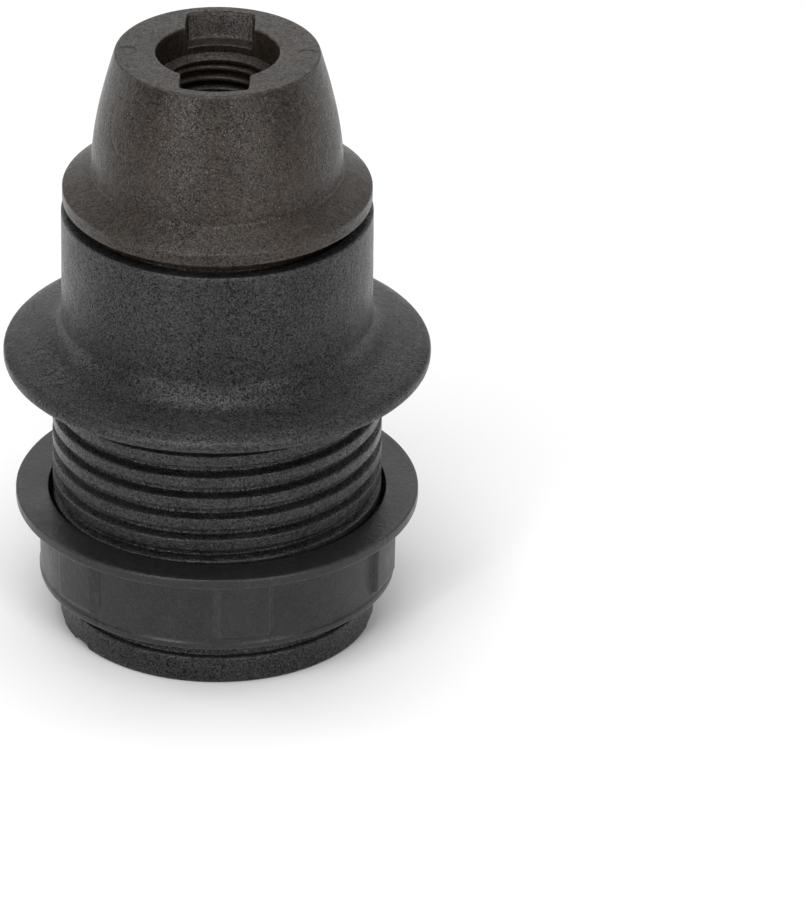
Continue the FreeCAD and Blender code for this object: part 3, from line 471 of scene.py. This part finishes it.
# %% Sleeve sizes
SLEEVE_R, SLEEVE_BORE_R, MOUTH_R = 13.15, 11.5, 11.7
COLLAR_Z, COLLAR_EDGE = 24.5, 0.95
BARREL_R, BARREL_ROOT_R, BARREL_PITCH, BARREL_BOTTOM = 14.0, 13.28, 2.0, 3.6
BAND_R, BAND_H, NECK_R = 13.4, 2.4, 13.0
LEDGE_TOP, LEDGE_H, LEDGE_R = 22.6, 2.2, 9.5
NOTCH_ANGLES = (-60, -81, -102, 78, 99, 120)
NOTCH_WIDE, NOTCH_H = 2.0, 0.35
FILLET_START = (SLEEVE_R + 1.85, COLLAR_Z + 2.15)
FILLET_MIDDLE = (SLEEVE_R + 0.55, COLLAR_Z + 2.92)
FILLET_END = (SLEEVE_R, COLLAR_Z + 4.1)
JOINT_DEPTH, SLEEVE_COLUMNS = 0.62, 432


# %% Draw the sleeve's section
def fillet_points():
    """A curve through the fillet's start, middle and end."""
    start, middle, end = Vector(FILLET_START), Vector(FILLET_MIDDLE), Vector(FILLET_END)
    pull = 2 * middle - (start + end) / 2
    points = []
    for t in np.linspace(0, 1, 14).tolist():
        point = (1 - t) ** 2 * start + 2 * t * (1 - t) * pull + t ** 2 * end
        points.append((point.x, point.y, 0, "fillet"))
    return points


def sleeve_outline():
    return Outline([
        (MOUTH_R, 0.0, 0.2, "rim", 0.4),
        (BAND_R, 0.0, 0.3, "band", 0.3),
        (BAND_R, BAND_H, 0.3, ""),
        (NECK_R, BAND_H + 0.15, 0.12, ""),
        (NECK_R, BARREL_BOTTOM, 0.1, "barrel", 0.07),
        (BARREL_ROOT_R, BARREL_BOTTOM + 0.3, 0.0, "barrel", 0.075),
        (BARREL_ROOT_R, COLLAR_Z, 0.25, "under", 0.35),
        (COLLAR_R, COLLAR_Z, 0.45, "", 0.2),
        (COLLAR_R, COLLAR_Z + COLLAR_EDGE, 0.42, ""),
        (COLLAR_R - 0.9, COLLAR_Z + 1.38, 0.45, "", 0.3),
    ] + fillet_points() + [
        (SLEEVE_R, SLEEVE_TOP, 0.22, ""),
        (SLEEVE_BORE_R + JOINT_DEPTH, SLEEVE_TOP, 0.1, ""),
        (SLEEVE_BORE_R + JOINT_DEPTH, SLEEVE_TOP - 0.6, 0.0, ""),
        (SLEEVE_BORE_R, SLEEVE_TOP - 0.7, 0.0, "joint", 0.1),
        (SLEEVE_BORE_R, SKIRT_END - 1.2, 0.0, ""),
        (SLEEVE_BORE_R, LEDGE_TOP, 0.1, ""),
        (LEDGE_R, LEDGE_TOP, 0.15, ""),
        (LEDGE_R, LEDGE_TOP - LEDGE_H, 0.15, ""),
        (SLEEVE_BORE_R - 0.1, LEDGE_TOP - LEDGE_H, 0.3, "", 0.6),
    ], 0.35)


# %% Build the sleeve
def build_sleeve():
    section = sleeve_outline()
    half = NOTCH_WIDE / 2 / BAND_R
    wanted = [FRONT + math.radians(a) + side * half for a in NOTCH_ANGLES for side in (-1, 1)]
    angle0 = columns_at(SLEEVE_COLUMNS, wanted)
    r = np.repeat(section.r[:, None], angle0.size, 1)
    z = np.repeat(section.z[:, None], angle0.size, 1)
    edge = np.repeat(section.edge[:, None], angle0.size, 1)
    angle = np.repeat(angle0[None, :], section.r.size, 0)
    barrel = section.rows("barrel")
    crest = ridge(z, angle, BARREL_PITCH, BARREL_BOTTOM, 0.85, 1.72)
    full = BARREL_ROOT_R + (BARREL_R - BARREL_ROOT_R) * crest
    reach = np.minimum(full, NECK_R + (z - BARREL_BOTTOM) * 1.1)
    fade = soft_step((COLLAR_Z - 0.25 - z) / 0.3)
    r = np.where(barrel, np.maximum(r, BARREL_ROOT_R * (1 - fade) + reach * fade), r)
    r = np.where(barrel & (z < BARREL_BOTTOM + 0.35), reach, r)
    edge = np.where(barrel, soft_step((crest - 0.75) / 0.25) * 0.45, edge)
    joint = section.rows("joint")
    groove = ridge(z, angle, JOINT_PITCH, SKIRT_END, 0.5, 1.3)
    fade = soft_step((z - SKIRT_END + 1.0) / 0.3)
    r = np.where(joint, r + JOINT_DEPTH * groove * fade, r)
    low = (z < 0.32) & (r > MOUTH_R - 0.05)
    for a in NOTCH_ANGLES:
        off = np.abs((angle - FRONT - math.radians(a) + math.pi) % (2 * math.pi) - math.pi) * BAND_R
        dip = NOTCH_H * soft_step((NOTCH_WIDE / 2 + 0.12 - off) / 0.2)
        z = np.where(low, z + dip * (1 - z / 0.6), z)
        edge = np.where(low & (np.abs(off - NOTCH_WIDE / 2) < 0.2), 0.9, edge)
    return grid_piece("sleeve_moulding", r, z, angle, edge)


sleeve_piece = build_sleeve()
sleeve_piece.data.materials.append(sleeve_black)
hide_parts("sleeve")
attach(sleeve_piece, "sleeve")

# %% [markdown]
# ## The shade ring
# The ring clamps a lampshade against the collar. It is a thin flange over a short skirt, with six
# shallow pads for the fingers. A seam runs down one end of each pad, where two inserts of the mould
# met. The pads are raised by shifting the grid outwards between two columns, so their ends are as
# steep as on the moulding.

# %% Ring sizes
FLANGE_H, RING_SKIRT_R, RING_MOUTH_R = 0.95, 15.1, 14.35
RING_CREST_R, RING_ROOT_R = BARREL_R + 0.06, BARREL_R + 0.42
PADS, PAD_PROUD, PAD_ANGLE, PAD_SHORT = 6, 0.45, math.radians(17.4), 1.3
SEAM_DEEP, SEAM_WIDE = 0.22, 0.24
PAD_EDGE, RING_COLUMNS = 0.018, 432


# %% Draw the ring's section
def ring_outline():
    flange_low = RING_TOP - FLANGE_H
    return Outline([
        (RING_MOUTH_R, RING_TOP, 0.12, "", 0.4),
        (RING_R, RING_TOP, 0.2, "", 0.2),
        (RING_R, flange_low, 0.2, "under", 0.3),
        (RING_SKIRT_R + 0.1, flange_low, 0.2, "skirt", 0.22),
        (RING_SKIRT_R, RING_LOW + 0.75, 0.0, "skirt", 0.15),
        (RING_SKIRT_R + 0.09, RING_LOW + 0.55, 0.1, "skirt", 0.15),
        (RING_SKIRT_R + 0.07, RING_LOW, 0.24, "", 0.2),
        (RING_CREST_R + 0.3, RING_LOW, 0.1, ""),
        (RING_CREST_R, RING_LOW + 0.3, 0.05, "thread", 0.09),
        (RING_CREST_R, RING_TOP - 1.0, 0.05, ""),
        (RING_MOUTH_R, RING_TOP - 0.7, 0.05, ""),
    ], 0.3)


# %% Build the ring
def build_ring():
    section = ring_outline()
    starts = [FRONT + 2 * math.pi * i / PADS for i in range(PADS)]
    wanted = []
    for start in starts:
        wanted += [start - PAD_EDGE, start, start + PAD_ANGLE, start + PAD_ANGLE + PAD_EDGE]
    angle0 = columns_at(RING_COLUMNS, wanted)
    r = np.repeat(section.r[:, None], angle0.size, 1)
    z = np.repeat(section.z[:, None], angle0.size, 1)
    edge = np.repeat(section.edge[:, None], angle0.size, 1)
    angle = np.repeat(angle0[None, :], section.r.size, 0)
    skirt = section.rows("skirt")
    for start in starts:
        along = (angle - start + math.pi) % (2 * math.pi) - math.pi
        lift = soft_step(along / 0.016 + 0.5) * soft_step((PAD_ANGLE - along) / 0.016 + 0.5)
        height = soft_step((z - RING_LOW - PAD_SHORT + 0.15) / 0.3)
        r = np.where(skirt, r + PAD_PROUD * lift * height, r)
        ends = np.minimum(np.abs(along), np.abs(along - PAD_ANGLE)) < 0.02
        edge = np.where(skirt & ends, 0.7 * height, edge)
        seam = np.exp(-(((along - PAD_ANGLE) * RING_SKIRT_R - 0.16) / (SEAM_WIDE / 2)) ** 2)
        r = np.where(skirt, r - SEAM_DEEP * seam, r)
    thread = section.rows("thread")
    cut = ridge(z, angle, BARREL_PITCH, BARREL_BOTTOM, 0.95, 1.5)
    fade = soft_step((z - RING_LOW - 0.3) / 0.2) * soft_step((RING_TOP - 1.0 - z) / 0.2)
    r = np.where(thread, r + (RING_ROOT_R - RING_CREST_R) * cut * fade, r)
    return grid_piece("shade_ring_moulding", r, z, angle, edge)


ring_piece = build_ring()
ring_piece.data.materials.append(ring_black)
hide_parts("shade_ring")
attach(ring_piece, "shade_ring")

# %% [markdown]
# ## Metals
# The small parts inside are pressed or turned from brass, bronze and plated steel. Pressed strip keeps
# fine scratches along its rolling direction, turned parts keep rings, and both dull a little with
# handling. One recipe covers them: a base metal, a slow tarnish cloud that shifts colour and
# roughness, and a stretched noise for the scratches.


# %% The metal recipe
def metal(name, bright, dull, rough, stretch):
    material, tree, shader, where = new_material(name)
    squeeze = tree.nodes.new("ShaderNodeVectorMath")
    squeeze.operation = "MULTIPLY"
    squeeze.inputs[1].default_value = stretch
    tree.links.new(where, squeeze.inputs[0])
    cloud = noise(tree, where, 0.7, 4.0, 0.6)
    scratch = noise(tree, squeeze.outputs[0], 5.0, 3.0, 0.65)
    tarnish = spread(tree, cloud, 0.35, 0.68)
    tree.links.new(blend_colour(tree, tarnish, bright, dull), shader.inputs["Base Color"])
    shader.inputs["Metallic"].default_value = 1.0
    mix = maths(tree, "ADD", maths(tree, "MULTIPLY", cloud, 0.5), maths(tree, "MULTIPLY", scratch, 0.5))
    tree.links.new(spread(tree, mix, 0.3, 0.7, rough - 0.08, rough + 0.14), shader.inputs["Roughness"])
    bump = tree.nodes.new("ShaderNodeBump")
    bump.inputs["Distance"].default_value = 0.006 * MM
    tree.links.new(scratch, bump.inputs["Height"])
    tree.links.new(bump.outputs["Normal"], shader.inputs["Normal"])
    return material


shell_finish = metal("plated_shell", (0.72, 0.70, 0.66), (0.55, 0.52, 0.47), 0.24, (0.2, 0.2, 3.0))
rivet_finish = metal("rivet_brass", (0.78, 0.60, 0.30), (0.60, 0.43, 0.20), 0.34, (1.0, 1.0, 1.0))
contact_finish = metal("contact_brass", (0.83, 0.64, 0.32), (0.66, 0.47, 0.22), 0.28, (0.25, 3.0, 1.0))
steel_finish = metal("spring_steel", (0.60, 0.60, 0.61), (0.42, 0.42, 0.44), 0.30, (1.0, 1.0, 1.0))
bronze_finish = metal("spring_bronze", (0.76, 0.50, 0.30), (0.58, 0.36, 0.20), 0.28, (1.0, 3.0, 0.2))
terminal_finish = metal("terminal_brass", (0.80, 0.62, 0.33), (0.62, 0.45, 0.23), 0.32, (3.0, 1.0, 0.3))
plate_finish = metal("plate_steel", (0.62, 0.62, 0.60), (0.45, 0.45, 0.44), 0.36, (3.0, 0.4, 1.0))
screw_finish = metal("screw_zinc", (0.70, 0.70, 0.68), (0.52, 0.52, 0.50), 0.30, (1.0, 1.0, 3.0))


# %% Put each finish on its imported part
def finish_node(node, material):
    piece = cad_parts[node]
    piece.data.materials.clear()
    piece.data.materials.append(material)


finish_node("insert_body", insert_black)
finish_node("screw_shell", shell_finish)
finish_node("shell_rivets", rivet_finish)
finish_node("shell_strip", contact_finish)
finish_node("centre_plunger", contact_finish)
finish_node("plunger_collar", rivet_finish)
finish_node("centre_strip", contact_finish)
finish_node("centre_strip_rivet", rivet_finish)
finish_node("side_contact_spring", bronze_finish)
for side in ("live", "neutral"):
    finish_node(side + "_terminal", terminal_finish)
    finish_node(side + "_clamp_plate", plate_finish)
    finish_node(side + "_terminal_screw", screw_finish)

# %% [markdown]
# ## The plunger's spring
# A coil of wire presses the centre contact onto the lamp. It has open active turns and a flat turn at
# each end. A swept curve would do, but the coil has to shorten as the plunger moves, and only a mesh
# can be flattened. So the wire is a tube of rings along the coil, closed at both ends.

# %% Build the spring
SPRING_R, WIRE_R, ACTIVE_TURNS, END_TURNS, END_RISE = 1.9, 0.21, 4.0, 1.0, 0.44


def build_spring(low, high):
    steps, around = 360, 12
    turns = ACTIVE_TURNS + 2 * END_TURNS
    t = np.linspace(0, turns, steps)
    body = np.clip((t - END_TURNS) / ACTIVE_TURNS, 0, 1)
    lead = np.clip(t, 0, END_TURNS) * END_RISE
    tail = np.clip(t - END_TURNS - ACTIVE_TURNS, 0, END_TURNS) * END_RISE
    span = high - low - 2 * WIRE_R - 2 * END_RISE * END_TURNS
    centre_z = low + WIRE_R + lead + body * span + tail
    a = t * 2 * math.pi
    ring = np.linspace(0, 2 * math.pi, around, endpoint=False)
    r = SPRING_R + WIRE_R * np.cos(ring)[None, :] + 0 * a[:, None]
    z = centre_z[:, None] + WIRE_R * np.sin(ring)[None, :]
    x, y = r * np.cos(a)[:, None], r * np.sin(a)[:, None]
    points = (np.stack([x, y, z], -1).reshape(-1, 3) * MM).tolist()
    faces = []
    for i in range(steps - 1):
        for k in range(around):
            n = (k + 1) % around
            faces.append((i * around + k, (i + 1) * around + k, (i + 1) * around + n, i * around + n))
    faces.append(tuple(range(around)))
    faces.append(tuple(reversed(range((steps - 1) * around, steps * around))))
    mesh = bpy.data.meshes.new("plunger_spring_coil")
    mesh.from_pydata(points, [], faces)
    mesh.shade_smooth()
    piece = bpy.data.objects.new("plunger_spring_coil", mesh)
    bpy.context.scene.collection.objects.link(piece)
    return piece


spring_low, spring_high = box_mm("plunger_spring")
spring_piece = build_spring(spring_low.z, spring_high.z)
spring_piece.data.materials.append(steel_finish)
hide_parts("plunger_spring")
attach(spring_piece, "insert")
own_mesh(spring_piece)

# %% [markdown]
# ## Floor, light and camera
# A small product is usually shown on a pale sweep under large soft lamps. Two narrow upright strips
# stand at the front, one to each side, and draw the two soft bands on the dome. A high front panel
# lights the flange, a panel on each side behind the object brightens the flanks of the sleeve, and the
# back panel gives the top face its sheen. The top panel mainly keeps the floor white. The camera is far
# away with a long lens, so the object is drawn almost without perspective, looking down from a little
# under thirty degrees.


# %% Floor
def build_floor():
    size, mesh = 1.6, bpy.data.meshes.new("floor")
    count = 24
    points, faces = [], []
    for j in range(count + 1):
        for i in range(count + 1):
            x, y = (i / count - 0.5) * size, (j / count - 0.35) * size
            lift = max(0.0, y - 0.55) ** 2 * 1.2
            points.append((x, y, lift))
    for j in range(count):
        for i in range(count):
            a = j * (count + 1) + i
            faces.append((a, a + 1, a + count + 2, a + count + 1))
    mesh.from_pydata(points, [], faces)
    mesh.shade_smooth()
    piece = bpy.data.objects.new("floor", mesh)
    bpy.context.scene.collection.objects.link(piece)
    material, tree, shader, where = new_material("floor_paper")
    cloud = noise(tree, where, 0.02, 2.0)
    paper = blend_colour(tree, cloud, grey(0.90), grey(0.94))
    tree.links.new(paper, shader.inputs["Base Color"])
    shader.inputs["Roughness"].default_value = 0.9
    shader.inputs["Specular IOR Level"].default_value = 0.1
    mesh.materials.append(material)
    print("floor", len(faces), "faces")


build_floor()


# %% Lights
def panel(name, place, aim, width, height, power):
    light = bpy.data.lights.new(name, "AREA")
    light.shape = "RECTANGLE"
    light.size, light.size_y = width, height
    light.energy = power
    lamp = bpy.data.objects.new(name, light)
    bpy.context.scene.collection.objects.link(lamp)
    lamp.location = place
    lamp.rotation_mode = "QUATERNION"
    lamp.rotation_quaternion = (Vector(aim) - Vector(place)).to_track_quat("-Z", "Y")
    print(name, round(power / (width * height), 1), "watts per square metre")


AIM = (0.0, 0.0, 0.03)
panel("strip_left", (-0.25, -0.42, 0.14), AIM, 0.05, 0.30, 1.0)
panel("strip_right", (0.25, -0.42, 0.14), AIM, 0.05, 0.30, 0.8)
panel("high_front", (-0.06, -0.26, 0.48), AIM, 0.30, 0.12, 1.0)
panel("left_panel", (-0.38, 0.16, 0.16), AIM, 0.16, 0.34, 0.36)
panel("right_panel", (0.38, 0.16, 0.16), AIM, 0.16, 0.34, 0.30)
panel("back_panel", (0.0, 0.46, 0.27), AIM, 0.6, 0.22, 0.6)
panel("top_panel", (0.0, 0.0, 0.62), AIM, 0.5, 0.5, 1.5)
world = bpy.data.worlds.new("studio")
world.use_nodes = True
world.node_tree.nodes["Background"].inputs["Color"].default_value = (1.0, 1.0, 1.0, 1.0)
world.node_tree.nodes["Background"].inputs["Strength"].default_value = 0.26
bpy.context.scene.world = world
bpy.context.scene.view_settings.view_transform = "Standard"


# %% Camera
def build_camera():
    """Long lens, set by its distance, height and the three small turns of its aim."""
    distance, height = 731.669 * MM, 412.0 * MM
    side_turn, down, roll = 0.0215653, 0.4968106, 0.011179
    lens_mm = 390.983
    level = Vector((math.sin(side_turn), math.cos(side_turn), 0))
    forward = level * math.cos(down) - Vector((0, 0, math.sin(down)))
    right = Vector((math.cos(side_turn), -math.sin(side_turn), 0))
    up = right.cross(forward)
    right_rolled = right * math.cos(roll) + up * math.sin(roll)
    up_rolled = up * math.cos(roll) - right * math.sin(roll)
    data = bpy.data.cameras.new("camera")
    data.lens = lens_mm
    data.sensor_width = 36.0
    camera = bpy.data.objects.new("camera", data)
    bpy.context.scene.collection.objects.link(camera)
    turn = Matrix((right_rolled, up_rolled, -forward)).transposed()
    camera.matrix_world = Matrix.Translation((0, -distance, height)) @ turn.to_4x4()
    data.clip_start, data.clip_end = 0.01, 10.0
    bpy.context.scene.camera = camera
    return camera


camera = build_camera()
print("camera height above the floor", round(camera.location.z, 3), "m")
